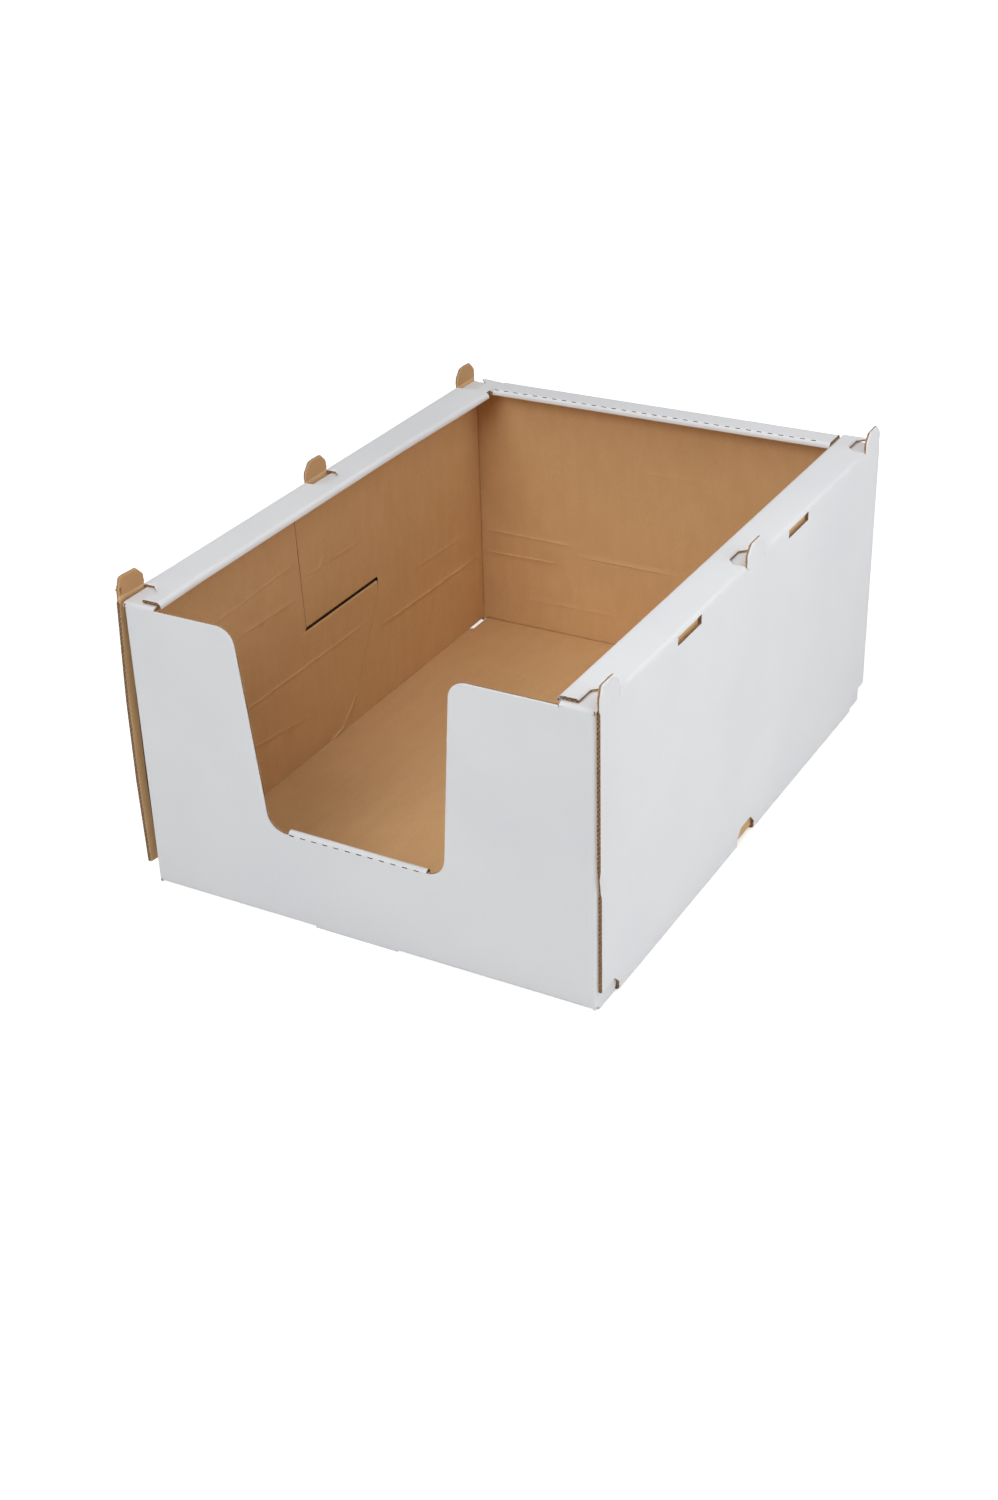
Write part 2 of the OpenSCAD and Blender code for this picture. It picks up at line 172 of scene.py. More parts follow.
def belongs(outline, u, v):
    """True in the outline and on its edge."""
    return inside(outline, u, v) or on_line(outline + outline[:1], u, v)


# %% Cut along lines, and cut holes
def span(face):
    us = [corner.co.x for corner in face.verts]
    vs = [corner.co.y for corner in face.verts]
    return min(us), max(us), min(vs), max(vs)


def touching(faces, a, b, room=0.02):
    """The faces whose box meets the box of the line from a to b."""
    low_u, high_u = min(a[0], b[0]) - room, max(a[0], b[0]) + room
    low_v, high_v = min(a[1], b[1]) - room, max(a[1], b[1]) + room
    found = []
    for face in faces:
        u0, u1, v0, v1 = span(face)
        if u1 >= low_u and u0 <= high_u and v1 >= low_v and v0 <= high_v:
            found.append(face)
    return found


def rule(sheet, line, closed=True):
    """Presses a line of steel rule into the sheet. It parts no cells."""
    us, vs = [p[0] for p in line], [p[1] for p in line]
    region = touching(sheet.faces, (min(us), min(vs)), (max(us), max(vs)))
    ends = line[1:] + line[:1] if closed else line[1:]
    for a, b in zip(line, ends):
        near = touching(region, a, b)
        chosen = set(near)
        rest = [face for face in region if face not in chosen]
        edges = {edge for face in near for edge in face.edges}
        corners = {corner for face in near for corner in face.verts}
        cut = bmesh.ops.bisect_plane(sheet, geom=near + list(edges) + list(corners),
                                     dist=1e-4, plane_co=(*a, 0),
                                     plane_no=(b[1] - a[1], a[0] - b[0], 0))
        region = rest + [g for g in cut["geom"] if isinstance(g, bmesh.types.BMFace)]


def die_cut(sheet, outline, keep=None):
    """Cuts a hole, and leaves the part that lies in the outline keep."""
    rule(sheet, outline)
    if keep:
        rule(sheet, keep)
    waste = []
    for face in sheet.faces:
        u, v = face.calc_center_median().xy
        if inside(outline, u, v) and not (keep and inside(keep, u, v)):
            waste.append(face)
    bmesh.ops.delete(sheet, geom=waste, context="FACES")


def trim(sheet, outline):
    """Cuts the sheet to an outline."""
    rule(sheet, outline)
    waste = [f for f in sheet.faces if not inside(outline, *f.calc_center_median().xy)]
    bmesh.ops.delete(sheet, geom=waste, context="FACES")


def both(outline):
    """An outline and its mirror image on the left."""
    return outline, [(-u, v) for u, v in reversed(outline)]


# %% [markdown]
# A steel rule also squeezes the board beside its cut, so a cut edge is thinner than the
# board. `crush` presses a second line close to the cut and notes on the corners of the
# cut itself how far the two liners come together. The thickness step reads the note.

# %% Crush the board beside a cut
def beside(line, gap, closed):
    """The line moved sideways: outwards if it is closed, and to its left if not."""
    points = [Vector(p) for p in line]
    if closed:
        area = sum(a.cross(b) for a, b in zip(points, points[1:] + points[:1]))
        gap = math.copysign(1, -area) * gap
        points = points[-1:] + points + points[:1]
    else:
        points = [2 * points[0] - points[1]] + points + [2 * points[-1] - points[-2]]
    moved = []
    for before, here, after in zip(points, points[1:], points[2:]):
        left = (here - before).normalized().orthogonal()
        side = (left + (after - here).normalized().orthogonal()).normalized()
        moved.append(tuple(here + side * gap / max(side.dot(left), 0.4)))
    return moved


def crush(sheet, line, amount, inwards=False, closed=True):
    """Squeezes the board along a cut, on the side where board is left."""
    rule(sheet, beside(line, -CRUSH_BAND if inwards else CRUSH_BAND, closed), closed)
    note = sheet.verts.layers.float["crush"]
    run = line + line[:1] if closed else line
    for corner in sheet.verts:
        if corner.is_boundary and on_line(run, *corner.co.xy):
            corner[note] = amount


# %% [markdown]
# ## Folding
# A fold doesn't stretch board, so a point keeps its distance along the sheet. `walk`
# follows a path of straight runs and bends for that distance and says where it gets.
# Each path is drawn for the white face, which is the outside of every bend.

# %% Walk along a folded path
def walk(path, distance):
    """Place and heading after a distance. Runs are (length, 0) or (radius, turn)."""
    a, b, heading, runs = path
    for size, turn in runs:
        step = min(distance, size * abs(turn) if turn else size)
        if turn:
            radius = math.copysign(size, turn)
            bent = step / radius
            a += radius * (math.sin(heading + bent) - math.sin(heading))
            b -= radius * (math.cos(heading + bent) - math.cos(heading))
            heading += bent
        else:
            a += math.cos(heading) * step
            b += math.sin(heading) * step
        distance -= step
    return a + math.cos(heading) * distance, b + math.sin(heading) * distance, heading


def remember(sheet):
    """Keeps each point's flat place, which is how the flutes run."""
    across = sheet.verts.layers.float.new("across")
    along = sheet.verts.layers.float.new("along")
    for corner in sheet.verts:
        corner[across] = corner.co.x
        corner[along] = corner.co.y


# %% [markdown]
# ## Floor, long walls and rims
# Floor, two long walls, two rims and their lips are one strip of the sheet, which a
# single path folds. The six stacking tabs are cut out of the rims and stay upright in
# the plane of the wall when the rim folds down. That is what leaves the notches beside
# them.

# %% Lay out the strip
EDGE = HALF - FOLD
WALL_FOOT = EDGE + ARC
WALL_TOP = WALL_FOOT + HEIGHT - 2 * FOLD
RIM_FLAT = WALL_TOP + ARC
RIM_RUN = RIM - FOLD - LIP_BEND
LIP_START = RIM_FLAT + RIM_RUN
LIP_FLAT = LIP_START + LIP_BEND * QUARTER
STRIP_END = LIP_FLAT + LIP - LIP_BEND

wrap_path = (0, 0, 0, [(EDGE, 0), (FOLD, QUARTER), (HEIGHT - 2 * FOLD, 0),
                       (FOLD, QUARTER), (RIM_RUN, 0), (LIP_BEND, QUARTER)])
strip = blank(-STRIP_END, STRIP_END, 0, LENGTH)
folds = (rows(EDGE, ARC) + rows(WALL_TOP, ARC)
         + rows(LIP_START, LIP_BEND * QUARTER, 8))
score(strip, u=folds + [-u for u in folds] + [-46, -45.7, 27.7, 28],
      v=[FOLD, LENGTH - FOLD])
print("flat strip", round(2 * STRIP_END, 1), "x", LENGTH, "mm,", len(strip.faces), "cells")


def wall_u(z):
    """Distance from the floor's middle to a height on the long wall."""
    return WALL_FOOT + z - FOLD


# %% Cut the tabs and their notches
tab_outlines = []
DEEP = RIM_FLAT + BOARD + TAB_H - FOLD
for start, length, front in ((0, FRONT_TAB, True), (MIDDLE_TAB, TAB, False),
                             (BACK_TAB, TAB, False)):
    end = start + length
    tip = WALL_TOP + TAB_H + FOLD
    base = WALL_TOP
    if front:
        tab = rounded([(base, start, 0), (base, end, 0), (tip - TAB_CUT, end, TAB_R),
                       (tip, end - TAB_CUT, TAB_R), (tip, start + 3, 2.5),
                       (tip - 10.5, start, 8)])
        hole = [(base, start - 1), (base, end + GAP), (DEEP - TAB_CUT, end + GAP),
                (DEEP, end - TAB_CUT + GAP), (DEEP, start - 1)]
    else:
        tab = rounded([(base, start, 0), (base, end, 0), (tip - TAB_CUT, end, TAB_R),
                       (tip, end - TAB_CUT, TAB_R), (tip, start + TAB_CUT, TAB_R),
                       (tip - TAB_CUT, start, TAB_R)])
        hole = [(base, start - GAP), (base, end + GAP), (DEEP - TAB_CUT, end + GAP),
                (DEEP, end - TAB_CUT + GAP), (DEEP, start + TAB_CUT - GAP),
                (DEEP - TAB_CUT, start - GAP)]
    for outline, shape in zip(both(hole), both(tab)):
        die_cut(strip, outline, keep=shape)
        crush(strip, outline, TAB_SQUEEZE)
        crush(strip, shape, TAB_SQUEEZE, inwards=True)
        tab_outlines.append(shape)
print("tabs cut:", len(tab_outlines))

# %% Cut the slots, the receptacles and the ends
FOOT_X, WIDE_FOOT = HALF - 7.5, HALF - 9.5
RECEPT = wall_u(16)
SHOULDER = RECEPT - TAB_CUT
SLOT, SLOT_TOP = wall_u(239.5), WALL_TOP + 0.6
slots = [[(SLOT, v0), (SLOT, v1), (SLOT_TOP, v1), (SLOT_TOP, v0)]
         for v0, v1 in (FRONT_SLOT, BACK_SLOT)]
receptacles = [
    [(FOOT_X, -1), (FOOT_X, 31), (SHOULDER, 31), (RECEPT, 23.5), (RECEPT, -1)],
    [(HALF - 5, 248.5), (HALF - 5, 283.5), (SHOULDER, 283.5), (RECEPT, 276), (RECEPT, 256),
     (SHOULDER, 248.5)],
    [(FOOT_X, 506.5), (FOOT_X, 538), (RECEPT, 538), (RECEPT, 514), (SHOULDER, 506.5)]]
for outline in slots + receptacles:
    for side in both(outline):
        die_cut(strip, side)
        crush(strip, side, SLOT_SQUEEZE)
rim_end = [(WALL_TOP, -1), (STRIP_END + 1, -1), (STRIP_END + 1, RIM_START),
           (WALL_TOP, RIM_START)]
for side, tab in zip(both(rim_end), tab_outlines):
    die_cut(strip, side, keep=tab)
for v0, v1 in ((-1, FOLD), (LENGTH - FOLD, LENGTH + 1)):
    # the end walls' own folds take this place
    die_cut(strip, [(-FOOT_X, v0), (FOOT_X, v0), (FOOT_X, v1), (-FOOT_X, v1)])
die_cut(strip, [(-FOOT_X, 506.5), (-FOOT_X, LENGTH - FOLD), (-WIDE_FOOT, LENGTH - FOLD),
                (-WIDE_FOOT, 506.5)])
# the left lip is cut away where the back lip meets it
die_cut(strip, [(-STRIP_END - 1, 507), (-LIP_START - 1, 507), (-LIP_START - 1, 514),
                (-STRIP_END - 1, 514)])
print("strip after cutting:", len(strip.faces), "cells")

# %% Nick in the right wall's front edge
nick = [(RECEPT - 1, -1), (wall_u(NICK_Z + 6), -1), (wall_u(NICK_Z + 6), 0),
        (wall_u(NICK_Z - 7), NICK), (RECEPT - 1, NICK)]
die_cut(strip, nick)
crush(strip, nick[2:4], NICK_SQUEEZE, inwards=True, closed=False)
print("right wall's edge set back", NICK, "mm below", NICK_Z)

# %% Fold the strip
remember(strip)
for corner in strip.verts:
    u, v = corner.co.xy
    side = 1 if u >= 0 else -1
    upright = abs(u) > WALL_TOP and any(belongs(t, u, v) for t in tab_outlines)
    if upright:
        x, z = HALF, HEIGHT - FOLD + abs(u) - WALL_TOP
    else:
        x, z, _ = walk(wrap_path, abs(u))
    corner.co = (side * x, v, z)
bmesh.ops.reverse_faces(strip, faces=strip.faces)
print("strip folded, top at", round(max(c.co.z for c in strip.verts), 2))

# %% [markdown]
# ## The left wall's bow
# Nothing holds the left wall's front edge, and it has sprung outwards from the front
# wall. The bow is widest below the middle, and it dies away after 60 mm. Points are
# moved in code, because it is one smooth change over a part of the sheet.

# %% Bow the left wall
bow_at = [(0, 4.6), (16, 5.2), (90, 6.8), (162, 6.2), (205, 4.4), (243, 2.7), (266, 2.0)]


def between(table, value):
    """Straight lines between the pairs of a table."""
    for (a, x), (b, y) in zip(table, table[1:]):
        if value <= b:
            return x + (y - x) * max(0, (value - a)) / (b - a)
    return table[-1][1]


def ease(value):
    value = min(max(value, 0), 1)
    return value * value * (3 - 2 * value)


for corner in strip.verts:
    x, y, z = corner.co
    if x < -165 and z > 0.1 and y < 64:
        free = max(0, 1 - y / 62) ** 2
        hold = 1 if z > 50 else ease(z / 50) + (1 - ease(z / 50)) * (1 - ease((y - 18) / 12))
        reach = 1 if x < -HALF + 0.5 else ease((-x - 168) / 30) * 0.6
        if z < FOLD + 0.5 and y > 30:
            hold = 0
        corner.co.x -= between(bow_at, z) * free * hold * reach
print("left edge at", round(min(c.co.x for c in strip.verts), 2))

# %% Lift the left rim's inner edge a little
for corner in strip.verts:
    x, y, z = corner.co
    if -HALF + FOLD < x < 0 and z > HEIGHT / 2:
        share = ease((x + HALF - FOLD) / (RIM - FOLD))
        corner.co.z += share * (1.0 * ease(y / 60) - 2.6 * ease((y - 310) / 200))
print("left lip between", [round(f(c.co.z for c in strip.verts if -166 < c.co.x < -164), 1)
                           for f in (min, max)])

# %% [markdown]
# ## The two ends
# Each end is a second kind of sheet: the end wall, a side flap at each hand, which is
# the inner ply of a long wall, and flanges along the top. The left and right bends
# come from a level path, and the lower fold and the flanges from upright ones.

# %% Paths for the ends
SIDE = PLY - FOLD
FLAP_U = SIDE + ARC - FOLD
LIFT = ARC - FOLD
level_path = (0, 0, 0, [(SIDE, 0), (FOLD, QUARTER)])
wall_path = (FOLD, 0, math.pi, [(FOLD, -QUARTER)])
plain_path = (0, -LIFT, QUARTER, [])
FLANGE = LOW_TOP - FOLD + LIFT
flange_path = (0, -LIFT, QUARTER, [(FLANGE, 0), (FOLD, -QUARTER)])
BACK_FOLD = HEIGHT - FOLD + LIFT
BACK_RUN = BACK_RIM - 2 * FOLD
back_path = (0, -LIFT, QUARTER, [(BACK_FOLD, 0), (FOLD, -QUARTER), (BACK_RUN, 0),
                                 (FOLD, -QUARTER)])
SILL_W = SILL + LIFT
flap_path = (0, -LIFT, QUARTER, [(SILL_W, 0), (SILL_BEND, -math.pi)])
BACK_END = BACK_FOLD + 2 * ARC + BACK_RUN + BACK_LIP - FOLD
FLANGE_END = FLANGE + ARC + CORNER_D - FOLD
INNER_END = FLANGE + ARC + INNER_RIM - FOLD
print("flat height of an end:", round(FLANGE_END, 1))


def half_end(seam, foot, notch=FOOT_X):
    """Right half of an end's outline, from the floor fold to the corner flange."""
    low = LIFT + BOARD + GAP
    top = LOW_TOP - BOARD - GAP + LIFT
    return [(0, 0), (notch, 0), (notch, LIFT), (SIDE, LIFT), (SIDE, LIFT + BOARD),
            (SIDE + ARC, LIFT + BOARD), (SIDE + ARC, LIFT), (FLAP_U + foot, LIFT),
            (FLAP_U + foot, low)] + [(FLAP_U + y, z + LIFT) for y, z in seam] + [
            (FLAP_U + seam[-1][0], INNER_END), (FLAP_U + CORNER_D + 1, INNER_END),
            (FLAP_U + CORNER_D + 1, top), (SIDE + ARC, top), (SIDE + 0.3, FLANGE - 0.1),
            (SIDE + 0.3, FLANGE + 0.3), (PLY, FLANGE + 0.3), (PLY, FLANGE_END),
            (PLY - CORNER_W, FLANGE_END), (PLY - CORNER_W, FLANGE)]


# %% [markdown]
# ## Crush marks
# Boxes are stacked, squeezed and knocked, and that leaves shallow lines and a dent in
# the inner liner. Each mark is two rules beside a middle one, and only the middle one
# is pressed in, so that the mark is real relief and not paint.

# %% Press a crush line
def crease(sheet, marks, a, b, depth, width=0.45):
    """Rules three lines from a to b and notes how deep the middle one goes."""
    a, b = Vector(a), Vector(b)
    aside = (b - a).orthogonal().normalized() * width
    for shift in (-aside, Vector((0, 0)), aside):
        rule(sheet, [tuple(a + shift), tuple(b + shift)], closed=False)
    marks.append((a, b, depth, width))


def pressed(marks, u, v):
    """How far a point of the sheet is pushed in by all marks."""
    total = 0.0
    for a, b, depth, width in marks:
        p = Vector((u, v, 0))
        near, along = intersect_point_line(p, a.to_3d(), b.to_3d())
        if 0 <= along <= 1:
            ends = min(1, along * 8, (1 - along) * 8)
            total += depth * ends * max(0, 1 - (near - p).length / width)
    return total


# %% Fold an end
def fold_end(sheet, marks, dents, top_path, back=False, flap=None):
    """Folds a cut end sheet, whose front face lies at Y = 0."""
    remember(sheet)
    for corner in sheet.verts:
        u, w = corner.co.xy
        side, far = (1 if u >= 0 else -1), abs(u)
        path = plain_path
        if flap and w > SILL_W and belongs(flap, u, w):
            path = flap_path
        elif w < ARC and far < FOOT_X + 0.01:
            path = wall_path
        elif w > FLANGE and far > PLY - CORNER_W - 0.01:
            path = flange_path
        elif w > FLANGE and far < HALF - RIM:
            path = top_path
        depth, z, _ = walk(path, w)
        if not back and path is wall_path and -46 < u < 28:
            lug = w * 2 * FOLD / ARC
            depth, z = max(0, FOLD - lug), max(0, lug - FOLD)
        if w > FLANGE and far < PLY + 0.01:
            x, y, heading = far, 0, 0
        else:
            x, y, heading = walk(level_path, far)
        depth += pressed(marks, u, w) + dents(u, w)
        x -= math.sin(heading) * depth
        y += math.cos(heading) * depth
        corner.co = (side * x, LENGTH - y if back else y, z)
    if back:
        bmesh.ops.reverse_faces(sheet, faces=sheet.faces)


# %% [markdown]
# ## The front end
# The cut-out has one rounded corner at each end of its four sides. A flap at its foot
# is folded back on itself inside the wall, and a row of short cuts makes that fold
# easy. The flap is cut and folded with the sheet, so the sill is one smooth roll.

# %% Cut the front end
front = blank(-540, 540, 0, 280)
ends = rows(SIDE, ARC)
score(front, u=ends + [-u for u in ends] + [-46, -45.7, 27.7, 28],
      v=rows(0, ARC) + rows(FLANGE, ARC) + rows(SILL_W, SILL_BEND * math.pi, 10))
front_seam = [(283, 3.3), (343, 108), (343.5, 122), (228, 122), (222, 242.1), (222, 243.1)]
top = RAW_TOP + LIFT
FLANGE_X = PLY - CORNER_W - 0.4
right = half_end(front_seam, FRONT_TAB) + [(FLANGE_X, FLANGE), (FLANGE_X, top)]
trim(front, right + [(-u, w) for u, w in reversed(right[1:])])
flap_outline = [(-64, SILL_W), (57, SILL_W), (57, SILL_W + SILL_BEND * math.pi),
                (51, SILL_W + SILL_BEND * math.pi + FLAP),
                (-58, SILL_W + SILL_BEND * math.pi + FLAP),
                (-64, SILL_W + SILL_BEND * math.pi)]
cutout = rounded([(-130, top + 40, 0), (-130, top, 0), (-99, top, 15), (-81, SILL_W, 16),
                  (72, SILL_W, 16), (83, top, 15), (110, top, 0), (110, top + 40, 0)], 10)
die_cut(front, cutout, keep=flap_outline)
crush(front, cutout, EDGE_SQUEEZE)
for side in both([(PLY - CORNER_W, top), (70, top)]):
    crush(front, list(side), EDGE_SQUEEZE, closed=False)
for shift in (-1, 1):
    slit_edge = [(shift * (FLAP_U + y), z + LIFT) for y, z in front_seam[2:4]]
    crush(front, slit_edge, SLIT_SQUEEZE_LOW, inwards=shift < 0, closed=False)
print("front end:", len(front.faces), "cells")

# %% Cut the row of short cuts, mark the front flaps and fold
for k in range(12):
    u = -63.5 + 10 * k
    die_cut(front, [(u, SILL_W - 0.4), (u + 4.5, SILL_W - 0.4), (u + 4.5, SILL_W + 0.4),
                    (u, SILL_W + 0.4)])


def left_front(y, z):
    return -(FLAP_U + y), z + LIFT


front_marks = []
for y0, z0, y1, z1, deep in ((92, 184, 221, 190, 0.3), (130, 159, 219, 157.5, 0.22),
                             (40, 93, 330, 90, 0.28), (120, 56, 224, 42, 0.16),
                             (295, 27, 268, 3.5, -0.7), (269, 6, 254, 3.5, 0.7)):
    crease(front, front_marks, left_front(y0, z0), left_front(y1, z1), deep)
fold_end(front, front_marks, lambda u, w: 0, plain_path, flap=flap_outline)
print("front folded, marks:", len(front_marks))

# %% Let the sill's roll sink towards its right end
ROLL_SINK = 1.2
for corner in front.verts:
    if -64.5 < corner.co.x < 57.5 and corner.co.z > SILL + 0.6 and corner.co.y < 8:
        share = ease((corner.co.x + 64) / 121) * ease((corner.co.z - SILL) / 2)
        corner.co.z -= ROLL_SINK * share
print("roll's top at", round(max(c.co.z for c in front.verts if abs(c.co.x) < 50), 1))

# %% [markdown]
# ## The back end
# The back wall is whole, and its middle carries on into a flange and a lip with a
# second row of short cuts. Its side flaps overlap nothing: they butt against the
# front flaps along a stepped seam that shows on both inner walls.

# %% Cut the back end
back = blank(-520, 520, 0, 288)
BACK_HALF = HALF - RIM - 1
score(back, u=ends + [-u for u in ends],
      v=rows(0, ARC) + rows(FLANGE, ARC) + rows(BACK_FOLD, ARC)
      + rows(BACK_FOLD + ARC + BACK_RUN, ARC))
back_seam = [(253.5, 3.3), (193.7, 108), (192.5, 125.4), (308.6, 125.4), (314.2, 242.1),
             (314.2, 243.1)]
edges = [(FLANGE_X, FLANGE), (FLANGE_X, top), (BACK_HALF, top), (BACK_HALF, BACK_END)]
right = half_end(back_seam, 29) + edges
left = half_end(back_seam, 1, WIDE_FOOT) + edges
trim(back, right + [(-u, w) for u, w in reversed(left[1:])])
for shift in (-1, 1):
    slit_edge = [(shift * (FLAP_U + y), z + LIFT) for y, z in back_seam[2:4]]
    crush(back, slit_edge, SLIT_SQUEEZE_HIGH, inwards=shift > 0, closed=False)
dash_w = BACK_FOLD + ARC + (BACK_RIM - BOARD * 0.8 - FOLD)
for k in range(32):
    u = -163.5 + 10 * k
    die_cut(back, [(u, dash_w), (u + 4.5, dash_w), (u + 4.5, dash_w + 0.8), (u, dash_w + 0.8)])
print("back end:", len(back.faces), "cells")

# %% Mark and fold the back end
def left_back(y, z):
    return -(FLAP_U + LENGTH - y), z + LIFT


back_marks = []
for y0, z0, y1, z1, deep in ((226, 172.5, 322, 170, 0.2), (337, 77, 526, 72, 0.26),
                             (405, 108, 505, 103, 0.16)):
    crease(back, back_marks, left_back(y0, z0), left_back(y1, z1), deep)
for x0, z0, x1, z1, deep in ((-191, 98.5, -91, 97.5, 0.2), (-192, 75, -104, 77, 0.22),
                             (-93, 88, 17, 88, 0.2), (-148, 32, -40, 34, 0.13),
                             (-25, 184, 44, 184, 0.1)):
    crease(back, back_marks, (x0, z0 + LIFT), (x1, z1 + LIFT), deep)


def crescent(u, w):
    """A curved dent in the left wall, such as the corner of a box leaves."""
    y, z = LENGTH - (-u - FLAP_U), w - LIFT
    if not (235 < y < 280 and 160 < z < 205):
        return 0
    away = math.hypot(y - 244, z - 188)
    ring = math.exp(-((away - 19) / 1.1) ** 2)
    return 1.3 * ring * ease((y - 246) / 8) * ease((196 - z) / 5)


dent_u, dent_w = left_back(255, 184)
rule(back, [(dent_u - 24, dent_w - 24), (dent_u + 24, dent_w - 24),
            (dent_u + 24, dent_w + 24), (dent_u - 24, dent_w + 24)])
nearby = [e for e in back.edges
          if all(abs(c.co.x - dent_u) < 24.1 and abs(c.co.y - dent_w) < 24.1 for c in e.verts)]
bmesh.ops.subdivide_edges(back, edges=nearby, cuts=7, use_grid_fill=True)
fold_end(back, back_marks, crescent, back_path, back=True)
print("back folded, marks:", len(back_marks), "cells", len(back.faces))

# %% [markdown]
# ## One sheet
# The strip and the two ends meet along the two floor folds. They are joined there,
# and the Solidify modifier gives the sheet the board's 3 mm, inwards from the white
# face. It also tells the three surfaces apart: white liner, kraft liner and raw edge.
# The fourth finish is painted shade, a dark brown for paper deep between two plies and in
# narrow cuts, and is given to it further on.

# %% Join the parts and give the board its thickness
whole = bmesh.new()
for part in (strip, front, back):
    flat = bpy.data.meshes.new("part")
    part.to_mesh(flat)
    part.free()
    whole.from_mesh(flat)
    bpy.data.meshes.remove(flat)
before = len(whole.verts)
bmesh.ops.remove_doubles(whole, verts=whole.verts, dist=0.02)
print("joined along the floor folds:", before - len(whole.verts), "corners")

mesh = bpy.data.meshes.new("carton_board")
whole.to_mesh(mesh)
whole.free()
carton = bpy.data.objects.new("carton_board", mesh)
bpy.context.scene.collection.objects.link(carton)
sheet_corners = len(mesh.vertices)

white = bpy.data.materials.new("white_liner")
kraft = bpy.data.materials.new("kraft_liner")
edge = bpy.data.materials.new("raw_edge")
shade = bpy.data.materials.new("painted_deep_shade")
for finish in (white, kraft, edge, shade):
    mesh.materials.append(finish)
thicken = carton.modifiers.new("board", "SOLIDIFY")
thicken.thickness = BOARD
thicken.offset = -1
thicken.use_even_offset = True
thicken.use_quality_normals = True
thicken.material_offset = 1
thicken.material_offset_rim = 2
solid = bpy.data.meshes.new_from_object(
    carton.evaluated_get(bpy.context.evaluated_depsgraph_get()))
carton.modifiers.clear()
carton.data = solid
print("board:", len(solid.vertices), "corners,", len(solid.polygons), "faces")

# %% Note the depth in the board, and squeeze it beside the cuts
depth = solid.attributes.new("depth", "FLOAT", "POINT")
depth.data.foreach_set("value", [0.0 if i < sheet_corners else 1.0
                                 for i in range(len(solid.vertices))])
crushed = solid.attributes["crush"].data
WIDEST = 1.5 * BOARD
for i in range(sheet_corners):
    outer, inner = solid.vertices[i], solid.vertices[i + sheet_corners]
    through = inner.co - outer.co
    if through.length > WIDEST:
        inner.co = outer.co + through.normalized() * WIDEST
    inner.co.y = min(max(inner.co.y, 0), LENGTH)
    through = inner.co - outer.co
    outer.co += through * crushed[i].value / 2
    inner.co -= through * crushed[i].value / 2
print("squeezed corners:", sum(1 for i in range(sheet_corners) if crushed[i].value))

# %% [markdown]
# The inner liner can't stretch round a fold, so it breaks into a narrow groove there.
# The back wall's foot and the upright folds show it as a dark line.

# %% Groove the inside of the folds
grooved = 0
inner_x, inner_y, inner_z = PLY - FOLD, LENGTH - FOLD, FOLD
for i in range(sheet_corners, len(solid.vertices)):
    x, y, z = solid.vertices[i].co
    if abs(x) < PLY - BOARD - 2 and y > inner_y + 0.05 and z < inner_z - 0.05:
        solid.vertices[i].co += Vector((0, 0.9, -0.9))
        grooved += 1
    elif x < -inner_x - 0.05 and y > inner_y + 0.05 and 8 < z < 240:
        solid.vertices[i].co += Vector((-0.7, 0.7, 0))
        grooved += 1
print("grooved corners:", grooved)

# %% [markdown]
# ## Open flutes
# The front edges of the long walls and rims were cut across the flutes, and there the
# wavy inner paper can be seen between the liners. The cut faces get a fine grid, and
# what lies between the papers is pushed in, so the flutes are real hollows.

# %% Hollow the flutes at the front edges
HOLLOW = 1.0
relief = bmesh.new()
relief.from_mesh(solid)
across, depth = [relief.verts.layers.float[name] for name in ("across", "depth")]
cut_faces = [f for f in relief.faces if f.material_index == 2 and f.normal.y < -0.8
             and abs(f.calc_center_median().x) > HALF - RIM - 1
             and f.calc_center_median().y < RIM_START + 1
             and max(abs(c[across]) for c in f.verts) > RECEPT
             and not (abs(f.calc_center_median().x) > PLY and f.calc_center_median().z > 246)]
cut_edges = {e for f in cut_faces for e in f.edges}
made = bmesh.ops.subdivide_edges(relief, edges=list(cut_edges), cuts=9, use_grid_fill=True)
for corner in {g for g in made["geom_inner"] if isinstance(g, bmesh.types.BMVert)}:
    if corner.co.y > RIM_START + 1 or not 0.05 < corner[depth] < 0.95:
        continue
    middle = 0.5 + 0.33 * math.sin(2 * math.pi * corner[across] / FLUTE)
    from_paper = abs(corner[depth] - middle) - 0.08
    from_liner = min(corner[depth], 1 - corner[depth]) - 0.08
    corner.co.y += HOLLOW * ease(min(from_paper, from_liner) / 0.1)
relief.to_mesh(solid)
relief.free()
print("fluted cut faces:", len(cut_faces), "board now", len(solid.polygons), "faces")

# %% Shade the board and turn it into metres
WHITE, KRAFT, RAW, PAINTED_SHADE = range(4)


def within(value, low, high):
    return low < value < high


def special(x, y, z, finish):
    """The finish of a face. Only the few that differ from their neighbours change."""
    between_plies = within(abs(x), PLY - 1, PLY + 1)
    if finish == WHITE and between_plies:
        seen_in_slot = any(within(y, v0 - 5, v1 + 5) for v0, v1 in (FRONT_SLOT, BACK_SLOT))
        seen_in_foot = z < 20 and within(y, 240, 295)
        return KRAFT if within(z, 225, 242) and seen_in_slot or seen_in_foot else WHITE
    # The left outer ply's kraft face between the plies, seen at its bowed front edge and
    # through the slit, gets painted shade.
    if finish == KRAFT and x < -PLY and z < 242 and within(y, 8, 520):
        return PAINTED_SHADE
    if finish != RAW:
        return finish
    # The cut faces of the sill's short cuts, the back lip's dashes and the slit get painted
    # shade.
    front_cut = within(z, SILL - 2, SILL + 3.5) and y < FOLD and within(x, -63.9, 56.9)
    back_cut = within(y, 511, 517) and z > 246 and abs(x) < 163.8
    slit = x < -PLY + BOARD and within(z, 120, 128) and within(y, 226, 345)
    if front_cut or back_cut or slit:
        return PAINTED_SHADE
    lip_end = (within(x, HALF - RIM - 1, HALF - RIM + LIP_BEND) and y < 5.5
               and within(z, 240, HEIGHT - 0.4))
    foot_corner = z < 4 and y < 5 and x > 190
    return WHITE if lip_end or foot_corner else RAW


